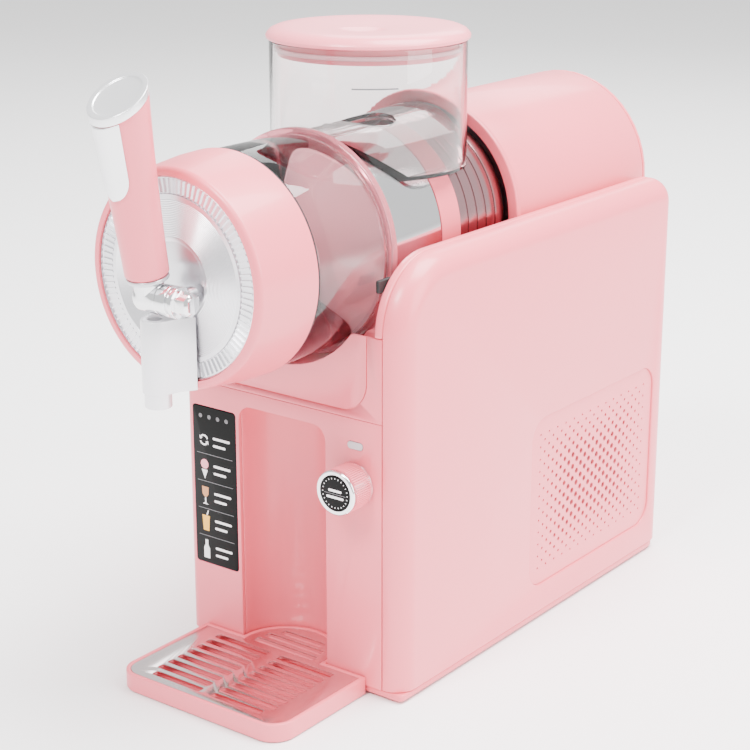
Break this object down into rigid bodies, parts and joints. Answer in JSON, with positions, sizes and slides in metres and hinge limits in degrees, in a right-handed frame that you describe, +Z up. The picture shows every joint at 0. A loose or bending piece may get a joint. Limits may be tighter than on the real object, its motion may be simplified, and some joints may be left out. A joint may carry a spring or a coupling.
{
  "type": "ice cream maker",
  "caption": "Horizontal-drum home soft-serve and slush maker with hopper, pull handle, control knob and drip tray.",
  "frame": {"origin": "centre of the overall box, on the surface that the feet stand on", "axes": "+Z up, the front with the handle and tray faces -Y, +X to the machine's right as seen from the front"},
  "size_m": [0.182, 0.4884, 0.418],
  "materials": {
    "pink_shell": "satin",
    "pink_trim": "satin",
    "clear_bowl": "clear",
    "steel": "brushed",
    "chrome": "polished",
    "black_gloss": "gloss",
    "black_rubber": "matte",
    "silver_plastic": "satin",
    "white_plastic": "matte",
    "copper_board": "matte",
    "dark_metal": "semi-gloss",
    "fin_metal": "satin"
  },
  "bodies": {
    "housing": {"base_plate": "pink_shell", "compressor": "dark_metal", "condenser": "fin_metal", "cradle_panel": "pink_shell", "cup_recess": "pink_shell", "cylinder_gasket": "black_rubber", "display_board": "copper_board", "display_window": "black_gloss", "drum_collar": "pink_trim", "drum_saddle": "pink_shell", "drum_seal": "black_rubber", "fan_motor": "dark_metal", "fan_shroud": "black_rubber", "foot_front_left": "black_rubber", "foot_front_right": "black_rubber", "foot_rear_left": "black_rubber", "foot_rear_right": "black_rubber", "freezing_cylinder": "steel", "front_panel": "pink_shell", "gear_motor": "dark_metal", "indicator_lens": "silver_plastic", "left_side_panel": "pink_shell", "motor_bracket": "fin_metal", "motor_housing": "pink_shell", "power_board": "copper_board", "power_inlet": "black_rubber", "rear_panel": "pink_shell", "right_side_cover": "pink_shell", "tower_inner_panel": "pink_shell", "vent_grille": "pink_shell"},
    "bowl": {"front_ring": "pink_shell", "front_disc": "steel", "ring_gasket": "black_rubber", "bowl_shell": "clear_bowl", "bowl_flange": "clear_bowl", "spout_body": "silver_plastic", "valve_body": "chrome", "pivot_pin": "chrome"},
    "handle": {"handle_yoke": "chrome", "handle_ferrule": "silver_plastic", "handle_grip": "pink_shell", "handle_cap": "silver_plastic", "handle_inlay": "silver_plastic"},
    "valve": {"valve_plunger": "steel"},
    "auger": {"auger_shaft": "steel", "drive_coupling": "white_plastic", "auger_flight": "white_plastic"},
    "hopper": {"hopper_shell": "clear_bowl"},
    "lid": {"hopper_lid": "pink_shell", "lid_seal": "white_plastic"},
    "fan": {"fan_rotor": "black_rubber"},
    "knob": {"control_knob": "silver_plastic"},
    "knob_button": {"knob_screen": "black_gloss"},
    "tray": {"drip_tray": "pink_shell"},
    "grid": {"drip_grid": "steel"},
    "latch": {"bowl_latch": "black_rubber"}
  },
  "joints": [
    {"name": "bowl_slide", "type": "slide", "parent": "housing", "child": "bowl", "axis": [0, -1, 0], "range_m": [0, 0.12]},
    {"name": "handle_pivot", "type": "hinge", "parent": "bowl", "child": "handle", "pos_m": [-0.0105, -0.20543, 0.281], "axis": [1, 0, 0], "range_deg": [0, 50]},
    {"name": "valve_slide", "type": "slide", "parent": "bowl", "child": "valve", "axis": [0, 0, 1], "range_m": [0, 0.009]},
    {"name": "hopper_lift", "type": "slide", "parent": "housing", "child": "hopper", "axis": [0, 0, 1], "range_m": [0, 0.1]},
    {"name": "lid_lift", "type": "slide", "parent": "hopper", "child": "lid", "axis": [0, 0, 1], "range_m": [0, 0.06]},
    {"name": "auger_spin", "type": "hinge", "parent": "housing", "child": "auger", "pos_m": [-0.008, 0.06557, 0.288], "axis": [0, 1, 0], "continuous": true},
    {"name": "fan_spin", "type": "hinge", "parent": "housing", "child": "fan", "pos_m": [0.038, 0.13757, 0.09], "axis": [1, 0, 0], "continuous": true},
    {"name": "knob_turn", "type": "hinge", "parent": "housing", "child": "knob", "pos_m": [0.054, -0.09443, 0.145], "axis": [0, 1, 0], "continuous": true},
    {"name": "knob_press", "type": "slide", "parent": "knob", "child": "knob_button", "axis": [0, 1, 0], "range_m": [0, 0.0015], "stiffness_N_per_m": 400},
    {"name": "tray_slide", "type": "slide", "parent": "housing", "child": "tray", "axis": [0, -1, 0], "range_m": [0, 0.1]},
    {"name": "grid_lift", "type": "slide", "parent": "tray", "child": "grid", "axis": [0, 0, 1], "range_m": [0, 0.04]},
    {"name": "latch_slide", "type": "slide", "parent": "housing", "child": "latch", "axis": [0, 1, 0], "range_m": [0, 0.003], "stiffness_N_per_m": 300}
  ],
  "couplings": [
    {"joint": "valve_slide", "follows": "handle_pivot", "m_per_rad": 0.01}
  ]
}
